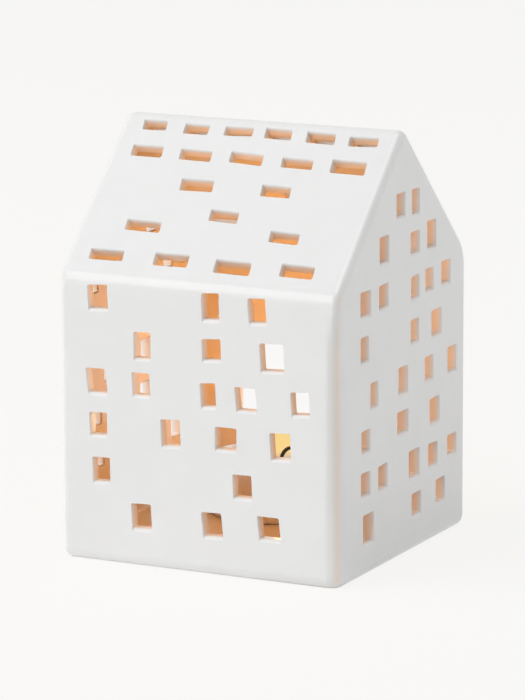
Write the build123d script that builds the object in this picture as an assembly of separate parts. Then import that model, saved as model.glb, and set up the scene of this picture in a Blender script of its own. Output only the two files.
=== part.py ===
from build123d import *
import math
import os

# Tealight house: a slip-cast and glazed ceramic house, pierced with hand-cut windows, that stands
# over a tealight. Lengths are in millimetres and angles in degrees. The origin is the middle of the
# footprint, on the table. X runs along the eaves, Y from the front wall to the doorway wall, Z up.

# House: the cast ceramic body
house_width = 85.0
house_depth = 83.0
eave_height = 80.0
ridge_height = 120.0
wall_thickness = 3.5
floor_thickness = 3.6
eave_radius = 12.0
ridge_radius = 3.5
edge_radius = 3.0
base_radius = 2.8
cavity_eave_radius = 8.5
cavity_ridge_radius = 2.4
cavity_radius = 1.6

# House: the unglazed foot and the recess under the floor
foot_rim_width = 6.0
foot_recess_depth = 0.65
foot_recess_corner = 3.0

# House: the doorway in the back wall, which lets the tealight in
doorway_width = 55.6
doorway_spring_height = 33.0
doorway_corner = 2.0
doorway_bevel = 1.0
doorway_margin = 2.6

# House: the windows, with their rows set out by storeys on the walls and by courses on the roof
window_width = 5.6
window_height = 6.6
first_storey_height = 14.2
storey_pitch = 12.05
roof_window_width = 9.2
roof_window_height = 4.0

# Tealight: the pleated aluminium cup
cup_radius = 18.9
cup_height = 15.5
cup_foil = 0.3
cup_base_bevel = 0.35
cup_rim_width = 0.9
cup_rim_height = 0.8
cup_rim_bevel = 0.25
cup_collar_height = 1.6
pleat_count = 60
pleat_depth = 0.28
cup_from_middle_x = -6.5
cup_from_middle_y = 17.7

# Tealight: the wax, with the pool that the flame has melted in its top
wax_height = 12.0
wax_clearance = 0.05
pool_radius = 14.5
pool_floor_radius = 11.5
pool_depth = 1.3

# Tealight: the wick and the metal foot that holds it
wick_diameter = 1.1
wick_clearance = 0.05
wick_height = 18.0
wick_bend_radius = 3.0
wick_direction = 26.7
sustainer_radius = 6.5
sustainer_sheet = 0.25
sustainer_collar_height = 3.0

# One overrun for every cut, and how near an edge lies to a face that it belongs to
overrun = 2.0
pick_reach = 0.02

# Places of the windows. A wall row is: storey, place across the wall as a share of its width, lift
# above the storey line, width and height as shares of the window size, then the turn of the head
# and sill and the lean of the jambs in degrees, as seen from outside.
front_window_shares = (
    (0, 0.296, -0.045, 1.05, 1.12, 2, 3),
    (0, 0.551, -0.045, 1.05, 1.07, 2, 6),
    (0, 0.753, 0.075, 1.12, 1.01, 0, 6),
    (1, 0.151, -0.065, 0.93, 1.10, 2, 1),
    (1, 0.659, -0.125, 0.98, 1.03, 1, 2),
    (2, 0.142, 0.045, 0.93, 1.01, 3, 1),
    (2, 0.404, -0.025, 1.02, 1.17, 3, 2),
    (2, 0.601, -0.025, 1.12, 1.00, 0, 0),
    (2, 0.794, -0.095, 1.05, 1.15, 4, 3),
    (3, 0.138, 0.035, 1.04, 1.09, 1, 7),
    (3, 0.299, 0.065, 0.93, 1.01, 0, 3),
    (3, 0.539, -0.095, 0.79, 1.04, 5, 3),
    (3, 0.673, -0.115, 1.07, 1.03, 1, 5),
    (3, 0.864, -0.065, 0.95, 1.00, 5, 3),
    (4, 0.304, -0.125, 0.88, 1.17, 2, 0),
    (4, 0.552, -0.015, 0.98, 0.92, 5, 2),
    (4, 0.766, -0.105, 1.23, 1.20, 3, 3),
    (5, 0.145, -0.085, 1.04, 1.06, 3, 4),
    (5, 0.549, -0.065, 0.89, 1.15, 3, 2),
    (5, 0.714, -0.065, 0.89, 1.06, 3, 5),
)
gable_window_shares = (
    (0, 0.221, -0.18, 1.18, 1.29, 0, 0),
    (0, 0.596, -0.18, 1.09, 1.03, 1, 0),
    (0, 0.790, -0.11, 1.07, 1.08, 2, 0),
    (1, 0.199, -0.10, 1.04, 1.06, -1, 0),
    (1, 0.331, -0.14, 1.05, 1.09, 3, 0),
    (1, 0.578, -0.22, 1.23, 1.23, 0, 0),
    (1, 0.728, -0.23, 1.11, 1.05, -1, 0),
    (1, 0.884, -0.19, 1.09, 0.95, 0, 1),
    (2, 0.200, -0.14, 0.96, 1.00, 1, 0),
    (2, 0.486, -0.05, 1.27, 1.02, 0, 0),
    (2, 0.741, -0.18, 1.16, 1.17, 2, 1),
    (3, 0.265, -0.17, 0.86, 1.12, 0, 0),
    (3, 0.489, -0.10, 1.07, 1.20, 0, 0),
    (3, 0.695, -0.08, 0.98, 1.09, 1, 1),
    (3, 0.882, -0.13, 1.04, 1.17, 0, 1),
    (4, 0.192, 0.05, 0.91, 1.12, 1, 0),
    (4, 0.580, -0.05, 0.95, 1.05, 1, 0),
    (4, 0.754, -0.08, 1.18, 1.18, 2, 1),
    (5, 0.199, 0.10, 1.16, 1.08, -2, 0),
    (5, 0.336, 0.11, 1.05, 1.06, 3, 0),
    (5, 0.582, -0.04, 0.95, 1.03, 3, 0),
    (5, 0.696, 0.05, 0.93, 1.02, 0, 1),
    (5, 0.829, 0.08, 1.07, 1.06, 0, 1),
    (6, 0.340, 0.21, 1.04, 1.17, 1, 0),
    (6, 0.580, 0.03, 1.02, 1.00, 1, 0),
    (6, 0.712, 0.12, 1.05, 1.24, -1, 1),
    (7, 0.467, -0.02, 0.98, 1.06, 1, 0),
    (7, 0.584, -0.08, 0.86, 1.12, -1, 0),
)

# The left gable's windows face those of the right one, with some moves towards the back. A row is:
# storey, place in the right gable, then the move as a share of the width.
left_gable_move_shares = (
    (1, 0.199, -0.010),
    (1, 0.728, 0.019),
    (2, 0.200, -0.023),
    (2, 0.486, 0.046),
    (3, 0.489, 0.044),
    (5, 0.199, -0.040),
)

# A roof row is: place up the slope as a share of its length, then the same columns without the lift.
roof_window_shares = (
    (0.129, 0.146, 1.09, 0.95, 1, 6),
    (0.130, 0.379, 1.10, 1.10, 1, 6),
    (0.118, 0.600, 1.15, 1.15, -1, 6),
    (0.127, 0.825, 1.05, 1.10, -1, 5),
    (0.311, 0.232, 1.13, 0.95, -1, 5),
    (0.309, 0.736, 0.93, 0.98, -2, 6),
    (0.402, 0.500, 0.92, 1.00, -3, 5),
    (0.569, 0.361, 1.05, 1.05, 1, 8),
    (0.569, 0.644, 0.93, 1.02, 0, 8),
    (0.748, 0.135, 1.01, 1.02, 0, 6),
    (0.744, 0.313, 1.03, 0.98, -1, 6),
    (0.746, 0.496, 1.07, 0.98, -3, 5),
    (0.739, 0.679, 1.00, 0.88, -1, 7),
    (0.739, 0.860, 1.10, 1.18, -1, 5),
    (0.904, 0.124, 0.76, 0.90, 1, 8),
    (0.897, 0.278, 0.80, 0.90, 0, 3),
    (0.901, 0.431, 0.91, 0.82, 2, 4),
    (0.903, 0.573, 0.86, 0.95, -1, 7),
    (0.897, 0.726, 0.92, 1.00, -1, 8),
    (0.892, 0.878, 0.92, 0.86, 2, 7),
)

# Bends of the wick, as shares of its height: how far it leans, and how high
wick_route_shares = ((0.000, 0.000), (0.000, 0.660), (0.130, 0.860), (0.310, 1.000))

# Lengths, angles and places that follow from the sizes above
roof_run = house_depth / 2
roof_rise = ridge_height - eave_height
roof_pitch = math.degrees(math.atan2(roof_rise, roof_run))
roof_slope = math.hypot(roof_run, roof_rise)
floor_height = foot_recess_depth + floor_thickness
cup_bore = cup_radius - pleat_depth - cup_foil
wick_bore = wick_diameter / 2 + wick_clearance
sustainer_collar_radius = wick_bore + sustainer_sheet
cup_place = Location((cup_from_middle_x, cup_from_middle_y, floor_height))
standing = (Align.CENTER, Align.CENTER, Align.MIN)


def gable_outline(half_depth, bottom, eave, ridge, eave_round, ridge_round):
    """The house seen from the side, on the plane X = 0, with its eaves and ridge rounded."""
    corners = (
        (-half_depth, bottom),
        (half_depth, bottom),
        (half_depth, eave),
        (0, ridge),
        (-half_depth, eave),
    )
    outline = Plane.YZ * make_face(Polyline(*corners, close=True))
    outline = fillet(outline.vertices().sort_by(Axis.Z)[-1], ridge_round)
    return fillet(outline.vertices().sort_by(Axis.Z)[-4:-2], eave_round)


def gable_edges(block):
    """The edges round both gable ends, without those on the ground."""
    ends = block.edges().group_by(Axis.X)
    around = ends[0] + ends[-1]
    lowest = block.bounding_box().min.Z
    return [edge for edge in around if edge.center().Z > lowest + pick_reach]


def outer_block():
    """The house as a solid block, with the soft edges of a slip casting."""
    outline = gable_outline(house_depth / 2, 0, eave_height, ridge_height, eave_radius, ridge_radius)
    block = extrude(outline, house_width / 2, both=True)
    block = fillet(gable_edges(block), edge_radius)
    return fillet(block.edges().group_by(Axis.Z)[0], base_radius)


def cavity_block():
    """The hollow that the slip leaves inside, one wall thickness in from the faces."""
    pitch = math.radians(roof_pitch)
    inner_eave = eave_height - wall_thickness * (1 - math.sin(pitch)) / math.cos(pitch)
    inner_ridge = ridge_height - wall_thickness / math.cos(pitch)
    outline = gable_outline(
        house_depth / 2 - wall_thickness,
        floor_height,
        inner_eave,
        inner_ridge,
        cavity_eave_radius,
        cavity_ridge_radius,
    )
    block = extrude(outline, house_width / 2 - wall_thickness, both=True)
    ends = block.edges().group_by(Axis.X)
    floor_line = block.edges().group_by(Axis.Z)[0].filter_by(Axis.X)
    return fillet(ends[0] + ends[-1] + floor_line, cavity_radius)


def doorway_outline(grow=0.0):
    """The arched doorway seen from outside, or the same outline grown by a margin."""
    half = doorway_width / 2 + grow
    foot = floor_height - grow
    spring = doorway_spring_height
    jambs = make_face(Polyline((-half, foot), (half, foot), (half, spring), (-half, spring), close=True))
    opening = jambs + Pos(0, spring) * Circle(half)
    return fillet(opening.vertices().group_by(Axis.Y)[0], doorway_corner)


def doorway_rim(shell):
    """The edges of the doorway on the outer face of the back wall."""
    reach = doorway_width / 2 + pick_reach
    sill = floor_height - pick_reach
    edges = shell.edges().group_by(Axis.Y)[-1]
    return [edge for edge in edges if abs(edge.center().X) < reach and edge.center().Z > sill]


def cut_doorway(shell):
    """Opens the back wall down to the floor and bevels the rim outside."""
    back = house_depth / 2
    plane = Plane(origin=(0, back + overrun, 0), x_dir=(-1, 0, 0), z_dir=(0, 1, 0))
    opening = plane * doorway_outline()
    shell = shell - extrude(opening, -(wall_thickness + 2 * overrun))
    return chamfer(doorway_rim(shell), doorway_bevel)


def window_cutter(plane, across, up, wide, tall, turn, lean):
    """A hand-cut window: a four-sided hole, a little out of true, cut square to its wall."""
    head = Vector(wide / 2, 0).rotate(Axis.Z, turn)
    jamb = Vector(0, tall / 2).rotate(Axis.Z, lean)
    middle = Vector(across, up)
    corners = (middle - head - jamb, middle + head - jamb, middle + head + jamb, middle - head + jamb)
    hole = make_face(Polyline(*corners, close=True))
    return extrude(plane.offset(overrun) * hole, -(wall_thickness + 2 * overrun))


def wall_windows(plane, width, rows, keep=None):
    """Cutters for one upright wall. The plane starts at the wall's lower left corner, from outside."""
    cutters = []
    for storey, across, lift, wide, tall, turn, lean in rows:
        place = across * width
        up = first_storey_height + storey * storey_pitch + lift * window_height
        size = (wide * window_width, tall * window_height)
        if keep is None or keep(place, up, *size):
            cutters.append(window_cutter(plane, place, up, *size, turn, lean))
    return cutters


def roof_windows(plane, rows):
    """Cutters for one slope of the roof. The plane's origin is the left end of the eave."""
    cutters = []
    for up, across, wide, tall, turn, lean in rows:
        size = (wide * roof_window_width, tall * roof_window_height)
        cutters.append(window_cutter(plane, across * house_width, up * roof_slope, *size, turn, lean))
    return cutters


def mirrored(rows, across_column):
    """The same windows as the opposite side has, so that the two sides face each other."""
    flipped = []
    for row in rows:
        *front, turn, lean = row
        front[across_column] = 1 - front[across_column]
        flipped.append((*front, -turn, -lean))
    return flipped


def left_gable_rows():
    """The windows of the left gable, with the right gable's rows moved and then mirrored."""
    moves = {(storey, across): move for storey, across, move in left_gable_move_shares}
    rows = []
    for storey, across, *rest in gable_window_shares:
        rows.append((storey, across + moves.get((storey, across), 0), *rest))
    return mirrored(rows, 1)


def beside_doorway(across, up, wide, tall):
    """True where a window of the back wall stays clear of the doorway's arch."""
    kept_off = doorway_outline(doorway_margin)
    window = Pos(across - house_width / 2, up) * Rectangle(wide, tall)
    shared = kept_off & window
    return shared is None or not shared.faces()


def all_windows():
    """Cutters for every window: the gables, the slopes and the walls answer each other in pairs."""
    half_w = house_width / 2
    half_d = house_depth / 2
    front = Plane(origin=(-half_w, -half_d, 0), x_dir=(1, 0, 0), z_dir=(0, -1, 0))
    back = Plane(origin=(half_w, half_d, 0), x_dir=(-1, 0, 0), z_dir=(0, 1, 0))
    right = Plane(origin=(half_w, -half_d, 0), x_dir=(0, 1, 0), z_dir=(1, 0, 0))
    left = Plane(origin=(-half_w, half_d, 0), x_dir=(0, -1, 0), z_dir=(-1, 0, 0))
    front_eave = (-half_w, -half_d, eave_height)
    back_eave = (half_w, half_d, eave_height)
    front_slope = Plane(origin=front_eave, x_dir=(1, 0, 0), z_dir=(0, -roof_rise, roof_run))
    back_slope = Plane(origin=back_eave, x_dir=(-1, 0, 0), z_dir=(0, roof_rise, roof_run))
    cutters = wall_windows(front, house_width, front_window_shares)
    cutters += wall_windows(back, house_width, mirrored(front_window_shares, 1), beside_doorway)
    cutters += wall_windows(right, house_depth, gable_window_shares)
    cutters += wall_windows(left, house_depth, left_gable_rows())
    cutters += roof_windows(front_slope, roof_window_shares)
    cutters += roof_windows(back_slope, mirrored(roof_window_shares, 1))
    return cutters


def foot_recess():
    """The shallow recess under the floor that leaves a flat foot rim round the base."""
    wide = house_width - 2 * foot_rim_width
    deep = house_depth - 2 * foot_rim_width
    outline = RectangleRounded(wide, deep, foot_recess_corner)
    return extrude(Pos(0, 0, -overrun) * outline, foot_recess_depth + overrun)


def house_shell():
    """The whole ceramic house, cast in one piece."""
    shell = outer_block() - cavity_block()
    shell = cut_doorway(shell)
    shell = shell - foot_recess()
    return shell - all_windows()


def pleated_outline():
    """The cup's side seen from above: fine pleats pressed into a circle."""
    step = 360 / pleat_count
    corners = []
    for pleat in range(pleat_count):
        corners.append(Vector(cup_radius - pleat_depth, 0).rotate(Axis.Z, pleat * step))
        corners.append(Vector(cup_radius, 0).rotate(Axis.Z, (pleat + 1 / 2) * step))
    return make_face(Polyline(*corners, close=True))


def tealight_cup():
    """A thin pressed cup with a bevelled base, a pleated side, a plain collar and a rolled rim."""
    body = Cylinder(cup_radius - pleat_depth, cup_height, align=standing)
    body = chamfer(body.edges().group_by(Axis.Z)[0], cup_base_bevel)
    pleat_height = cup_height - cup_base_bevel - cup_collar_height
    pleats = extrude(Pos(0, 0, cup_base_bevel) * pleated_outline(), pleat_height)
    rim = Cylinder(cup_bore + cup_rim_width, cup_rim_height, align=standing)
    rim = chamfer(rim.edges().group_by(Axis.Z)[-1], cup_rim_bevel)
    hollow = Cylinder(cup_bore, cup_height, align=standing)
    return body + pleats + Pos(0, 0, cup_height - cup_rim_height) * rim - Pos(0, 0, cup_foil) * hollow


def tealight_wax():
    """The wax, hollowed at the top by the melt pool and bored for the wick and its foot."""
    wax = Cylinder(cup_bore - wax_clearance, wax_height, align=standing)
    pool = Cone(pool_floor_radius, pool_radius, pool_depth, align=standing)
    disc_seat = Cylinder(
        sustainer_radius + wick_clearance, sustainer_sheet + wick_clearance, align=standing
    )
    collar_seat = Cylinder(
        sustainer_collar_radius + wick_clearance, sustainer_collar_height + wick_clearance, align=standing
    )
    bore = Cylinder(wick_bore, wax_height, align=standing)
    return wax - Pos(0, 0, wax_height - pool_depth) * pool - disc_seat - collar_seat - bore


def tealight_wick():
    """The braided wick, upright in the wax and curled over above it where it has burned."""
    points = [Vector(lean * wick_height, 0, rise * wick_height) for lean, rise in wick_route_shares]
    route = FilletPolyline(*points, radius=wick_bend_radius)
    section = Plane(origin=points[0], z_dir=(0, 0, 1)) * Circle(wick_diameter / 2)
    return Rot(0, 0, wick_direction) * sweep(section, path=route)


def wick_sustainer():
    """The pressed metal foot that keeps the wick upright on the cup's floor."""
    disc = Cylinder(sustainer_radius, sustainer_sheet, align=standing)
    collar = Cylinder(sustainer_collar_radius, sustainer_collar_height, align=standing)
    return disc + collar - Cylinder(wick_bore, sustainer_collar_height, align=standing)


def main():
    """Builds every piece in its place and writes one file for each."""
    os.makedirs("parts", exist_ok=True)
    in_cup = cup_place * Pos(0, 0, cup_foil)
    pieces = {
        "house_shell": house_shell(),
        "tealight_cup": cup_place * tealight_cup(),
        "tealight_wax": in_cup * tealight_wax(),
        "tealight_wick": in_cup * tealight_wick(),
        "wick_sustainer": in_cup * wick_sustainer(),
    }
    for name, shape in pieces.items():
        export_step(shape, f"parts/{name}.step")
        size = shape.bounding_box().size
        print(f"{name}: {size.X:.2f} x {size.Y:.2f} x {size.Z:.2f} mm, {len(shape.faces())} faces")


main()
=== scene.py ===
"""Dresses the tealight house: its glaze, its softened window rims, the tealight inside and the flame.

Lengths are in metres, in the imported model's own frame: X runs along the eaves, Y from the front wall to
the doorway wall, and Z up from the table.
"""

import logging
import math
import random
from dataclasses import dataclass, field
from enum import Enum
from typing import Callable, Iterable, Sequence

import bmesh
import bpy
from mathutils import Matrix, Vector, geometry
from mathutils.bvhtree import BVHTree


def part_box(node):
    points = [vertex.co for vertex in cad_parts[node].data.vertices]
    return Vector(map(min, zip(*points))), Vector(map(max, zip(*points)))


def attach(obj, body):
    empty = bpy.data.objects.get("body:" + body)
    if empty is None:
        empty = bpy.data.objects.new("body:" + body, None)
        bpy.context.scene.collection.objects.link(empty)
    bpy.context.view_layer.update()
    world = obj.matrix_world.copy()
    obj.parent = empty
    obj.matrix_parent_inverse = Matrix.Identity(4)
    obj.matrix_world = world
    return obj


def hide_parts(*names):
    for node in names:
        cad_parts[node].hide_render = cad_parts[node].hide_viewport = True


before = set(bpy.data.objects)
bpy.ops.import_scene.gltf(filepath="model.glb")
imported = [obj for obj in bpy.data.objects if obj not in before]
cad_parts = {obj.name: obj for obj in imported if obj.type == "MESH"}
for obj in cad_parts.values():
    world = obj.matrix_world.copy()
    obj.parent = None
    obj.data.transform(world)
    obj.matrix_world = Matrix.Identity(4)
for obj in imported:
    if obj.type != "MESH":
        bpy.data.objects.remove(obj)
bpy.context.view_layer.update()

log = logging.getLogger("tealight_house")

MERGE_DISTANCE = 1e-6
CUT_DISTANCE = MERGE_DISTANCE / 10
RIGHT_ANGLE = math.pi / 2
HALF = 0.5
UP = Vector((0.0, 0.0, 1.0))

Point = tuple[float, float, float]
Colour = tuple[float, float, float, float]
Span = tuple[float, float]
Points = Sequence[tuple[float, float]]
Socket = bpy.types.NodeSocket

# How noise spreads, and how a surface that faces up counts as a sill, which the hollow's mask of painted
# candle glow leaves out
NOISE_SPREAD = (0.3, 0.7)
SILL_FACING = (0.3, 0.7)
SILL_FADE = 0.0001


class Body(Enum):
    """The bodies that pieces ride on."""

    HOUSE = "root"
    TEALIGHT = "tealight"


class Slot(Enum):
    """The record's material slots."""

    CERAMIC = "glazed_ceramic"
    CUP = "cup_aluminium"
    WAX = "candle_wax"
    WICK = "wick_cotton"
    SUSTAINER = "sustainer_metal"


# Shader helpers and shared node groups


class Graph:
    """A node tree that is written as calls, each adding one node and its links."""

    def __init__(self, tree: bpy.types.NodeTree) -> None:
        """Clears the tree.

        Args:
            tree: the material, world or group tree to fill.
        """
        self.tree = tree
        self.tree.nodes.clear()

    def add(self, kind: str, inputs: dict | None = None, **settings: object) -> bpy.types.Node:
        """Adds a node.

        Args:
            kind: the node's type name, without its ShaderNode prefix.
            inputs: values or output sockets for its inputs, by name or number.
            settings: plain properties of the node.

        Returns:
            The new node.
        """
        node = self.tree.nodes.new(kind if kind.startswith("Node") else "ShaderNode" + kind)
        for name, value in settings.items():
            setattr(node, name, value)
        for name, value in (inputs or {}).items():
            if isinstance(value, bpy.types.NodeSocket):
                self.tree.links.new(value, node.inputs[name])
            else:
                node.inputs[name].default_value = value
        return node

    def group(self, tree: bpy.types.NodeTree, inputs: dict | None = None) -> Socket:
        """Places a shared node group, with its own values, and returns its output."""
        return self.add("Group", inputs, node_tree=tree).outputs[0]

    def mix(self, mask: Socket, low: Colour | Socket, high: Colour | Socket) -> Socket:
        """Mixes two colours by a mask and returns the colour socket."""
        return self.add("Mix", {0: mask, 6: low, 7: high}, data_type="RGBA").outputs[2]

    def ramp(self, value: Socket, start: float | Socket, end: float | Socket, low: float | Socket = 0.0,
             high: float | Socket = 1.0) -> Socket:
        """Maps a value in a straight line, and holds it at both ends.

        Args:
            value: the value to map.
            start: where the result is low.
            end: where the result is high.
            low: the result at the start.
            high: the result at the end.

        Returns:
            The result's socket.
        """
        return self.add("MapRange", {"Value": value, "From Min": start, "From Max": end, "To Min": low,
                                     "To Max": high}).outputs[0]

    def calculate(self, operation: str, *values: float | Socket) -> Socket:
        """Works out one sum of values or sockets and returns the result's socket."""
        return self.add("Math", dict(enumerate(values)), operation=operation).outputs[0]

    def place(self) -> Socket:
        """The shaded point's place, in the object's own coordinates."""
        return self.add("TexCoord").outputs["Object"]

    def axes(self, vector: Socket) -> tuple[Socket, ...]:
        """Splits a vector into its X, Y and Z sockets."""
        return tuple(self.add("SeparateXYZ", {0: vector}).outputs)

    def bump(self, height: Socket, depth: float, strength: float) -> Socket:
        """Turns a height, of the given depth in metres, into a normal and returns its socket."""
        return self.add("Bump", {"Height": height, "Distance": depth, "Strength": strength}).outputs[0]

    def principled(self, inputs: dict) -> None:
        """Adds the surface shader, with its inputs, and the material's output."""
        shader = self.add("BsdfPrincipled", inputs)
        self.add("OutputMaterial", {"Surface": shader.outputs[0]})


def grey(level: float) -> Colour:
    """A neutral colour."""
    return (level, level, level, 1.0)


def new_material(name: str) -> tuple[bpy.types.Material, Graph]:
    """Makes an empty node material and returns it with its graph."""
    material = bpy.data.materials.new(name)
    material.use_nodes = True
    return material, Graph(material.node_tree)


def new_group(name: str, inputs: dict[str, float], output: str) -> tuple[bpy.types.NodeTree, Graph]:
    """Makes an empty shader group.

    Args:
        name: the group's name.
        inputs: its float inputs and their defaults.
        output: the name of its one float output.

    Returns:
        The group and its graph.
    """
    tree = bpy.data.node_groups.new(name, "ShaderNodeTree")
    for label, value in inputs.items():
        socket = tree.interface.new_socket(label, in_out="INPUT", socket_type="NodeSocketFloat")
        socket.default_value = value
    tree.interface.new_socket(output, in_out="OUTPUT", socket_type="NodeSocketFloat")
    return tree, Graph(tree)


def mottle_group() -> bpy.types.NodeTree:
    """Builds the group for slow, cloudy variation. Its mask lies between Low and High."""
    tree, graph = new_group("mottle", {"Scale": 100.0, "Detail": 3.0, "Low": 0.0, "High": 1.0}, "Mask")
    given = graph.add("NodeGroupInput").outputs
    noise = graph.add("TexNoise", {"Vector": graph.place(), "Scale": given["Scale"],
                                   "Detail": given["Detail"]})
    spread = graph.ramp(noise.outputs[0], *NOISE_SPREAD, given["Low"], given["High"])
    graph.add("NodeGroupOutput", {"Mask": spread})
    return tree


def relief_group() -> bpy.types.NodeTree:
    """Builds the group for a surface's unevenness: a broad swell with a fine texture over it."""
    tree, graph = new_group("relief", {"Swell scale": 40.0, "Fine scale": 900.0, "Fine share": 0.2}, "Height")
    given = graph.add("NodeGroupInput").outputs
    place = graph.place()
    swell = graph.add("TexNoise", {"Vector": place, "Scale": given["Swell scale"], "Detail": 1.0})
    fine = graph.add("TexNoise", {"Vector": place, "Scale": given["Fine scale"], "Detail": 2.0})
    share = graph.calculate("MULTIPLY", fine.outputs[0], given["Fine share"])
    graph.add("NodeGroupOutput", {"Height": graph.calculate("ADD", swell.outputs[0], share)})
    return tree


def height_fade_group() -> bpy.types.NodeTree:
    """Builds the group that turns height above the table into a mask, 0 at From and 1 at To."""
    tree, graph = new_group("height_fade", {"From": 0.0, "To": 0.01}, "Mask")
    given = graph.add("NodeGroupInput").outputs
    height = graph.axes(graph.place())[2]
    graph.add("NodeGroupOutput", {"Mask": graph.ramp(height, given["From"], given["To"])})
    return tree


def hollow_group() -> bpy.types.NodeTree:
    """Builds the mask of the painted candle glow for a gabled room: 1 in the room, fading within its walls,
    but not on its sills.
    """
    tree, graph = new_group("hollow", {"Half width": 0.039, "Half depth": 0.038, "Floor": 0.004, "Roof": 0.08,
                                       "Pitch sine": 0.7, "Pitch cosine": 0.7, "Fade": 0.003}, "Mask")
    given = graph.add("NodeGroupInput").outputs
    x, y, z = graph.axes(graph.place())
    across, along = (graph.calculate("ABSOLUTE", part) for part in (x, y))
    level = graph.calculate("MULTIPLY", along, given["Pitch sine"])
    reach = graph.calculate("MULTIPLY_ADD", z, given["Pitch cosine"], level)
    limits = ((across, given["Half width"]), (along, given["Half depth"]), (given["Floor"], z),
              (reach, given["Roof"]))
    beyond, *gaps = [graph.calculate("SUBTRACT", value, limit) for value, limit in limits]
    for gap in gaps:
        beyond = graph.calculate("MAXIMUM", beyond, gap)
    facing = graph.axes(graph.add("NewGeometry").outputs["Normal"])[2]
    fade = graph.ramp(facing, *SILL_FACING, given["Fade"], SILL_FADE)
    graph.add("NodeGroupOutput", {"Mask": graph.ramp(beyond, fade, 0.0)})
    return tree


MOTTLE = mottle_group()
RELIEF = relief_group()
HEIGHT_FADE = height_fade_group()
HOLLOW = hollow_group()


def mottled(graph: Graph, scale: float, span: Span = (0.0, 1.0), detail: float = 3.0) -> Socket:
    """A cloudy mask of the given scale and detail, which lies within the span."""
    return graph.group(MOTTLE, {"Scale": scale, "Detail": detail, "Low": span[0], "High": span[1]})


@dataclass(frozen=True)
class Relief:
    """A surface's unevenness: how dense its swell and its fine texture are, and how deep they go."""

    swell_scale: float
    fine_scale: float
    fine_share: float
    depth: float
    strength: float

    def normal(self, graph: Graph) -> Socket:
        """Adds the relief to a material's graph and returns its normal."""
        height = graph.group(RELIEF, {"Swell scale": self.swell_scale, "Fine scale": self.fine_scale,
                                      "Fine share": self.fine_share})
        return graph.bump(height, self.depth, self.strength)


# Finishes


@dataclass(frozen=True)
class GlazedCeramic:
    """White glaze over a pale cast body, bare on the rim that the house stands on, with painted warm glow
    inside the hollow and on the window reveals.
    """

    glaze: Colour = (0.885, 0.885, 0.885, 1.0)
    glaze_thin: Colour = (0.862, 0.862, 0.860, 1.0)
    # Painted candle glow: the warm inside colour stands in for the flame's light on the hollow's walls.
    inside: Colour = (0.78, 0.655, 0.49, 1.0)
    inside_glow_share: Span = (0.93, 1.0)
    # Painted warm glow on the window reveals, fading out towards the outer face.
    reveal_glow: Colour = (0.95, 0.79, 0.64, 1.0)
    reveal_glow_share: Span = (0.05, 0.5)
    body: Colour = (0.78, 0.765, 0.735, 1.0)
    speck: Colour = (0.42, 0.40, 0.38, 1.0)
    foot_height: float = 0.0003
    cloud_scale: float = 90.0
    gloss_scale: float = 240.0
    gloss: Span = (0.42, 0.5)
    relief: Relief = Relief(45.0, 1100.0, 0.05, 0.00012, 1.0)
    speck_scale: float = 150.0
    speck_share: float = 0.992
    speck_radius: float = 0.022
    refraction: float = 1.5
    shine: float = 0.3
    coat_roughness: float = 0.07
    coat_refraction: float = 1.6

    def build(self, room: dict[str, float]) -> bpy.types.Material:
        """Makes the material.

        Args:
            room: the hollow's size, as the inputs of the hollow group, which masks the painted candle glow.

        Returns:
            The material.
        """
        material, graph = new_material(Slot.CERAMIC.value)
        cloud = mottled(graph, self.cloud_scale)
        outside = self.with_specks(graph, graph.mix(cloud, self.glaze, self.glaze_thin))
        # Painted candle glow: the hollow's mask turns the reveals and then the inside warm, in place of the
        # flame's light.
        glow_room_mask = graph.group(HOLLOW, room)
        reveal_glow = graph.mix(graph.ramp(glow_room_mask, *self.reveal_glow_share), outside, self.reveal_glow)
        skin = graph.mix(graph.ramp(glow_room_mask, *self.inside_glow_share), reveal_glow, self.inside)
        glazed = graph.group(HEIGHT_FADE, {"From": self.foot_height, "To": self.foot_height * 2})
        colour = graph.mix(glazed, self.body, skin)
        rough = mottled(graph, self.gloss_scale, self.gloss)
        graph.principled({"Base Color": colour, "Roughness": rough, "IOR": self.refraction,
                          "Coat Weight": glazed, "Coat Roughness": self.coat_roughness,
                          "Coat IOR": self.coat_refraction, "Specular IOR Level": self.shine,
                          "Normal": self.relief.normal(graph)})
        return material

    def with_specks(self, graph: Graph, colour: Socket) -> Socket:
        """Adds the few tiny iron specks that a white glaze has.

        Args:
            graph: the material's graph.
            colour: the glaze's colour.

        Returns:
            The colour with its specks.
        """
        cells = graph.add("TexVoronoi", {"Vector": graph.place(), "Scale": self.speck_scale})
        lucky = graph.add("SeparateColor", {0: cells.outputs["Color"]})
        chosen = graph.calculate("GREATER_THAN", lucky.outputs[0], self.speck_share)
        near = graph.ramp(cells.outputs["Distance"], self.speck_radius * 2, self.speck_radius)
        return graph.mix(graph.calculate("MULTIPLY", chosen, near), colour, self.speck)


@dataclass(frozen=True)
class PressedFoil:
    """Bright aluminium foil, pressed into a cup, with fine draw lines and a little dulling."""

    bright: Colour = (0.86, 0.86, 0.87, 1.0)
    dull: Colour = (0.80, 0.80, 0.81, 1.0)
    cloud_scale: float = 260.0
    cloud_detail: float = 4.0
    gloss_scale: float = 120.0
    gloss: Span = (0.30, 0.38)
    line_stretch: Point = (1.0, 1.0, 0.01)
    line_scale: float = 3200.0
    line_depth: float = 0.00001
    line_strength: float = 0.5

    def build(self) -> bpy.types.Material:
        """Makes the material."""
        material, graph = new_material(Slot.CUP.value)
        cloud = mottled(graph, self.cloud_scale, detail=self.cloud_detail)
        rough = mottled(graph, self.gloss_scale, self.gloss)
        along = graph.add("Mapping", {"Vector": graph.place(), "Scale": self.line_stretch}).outputs[0]
        lines = graph.add("TexNoise", {"Vector": along, "Scale": self.line_scale, "Detail": 1.0}).outputs[0]
        graph.principled({"Base Color": graph.mix(cloud, self.bright, self.dull), "Metallic": 1.0,
                          "Roughness": rough,
                          "Normal": graph.bump(lines, self.line_depth, self.line_strength)})
        return material


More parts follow.
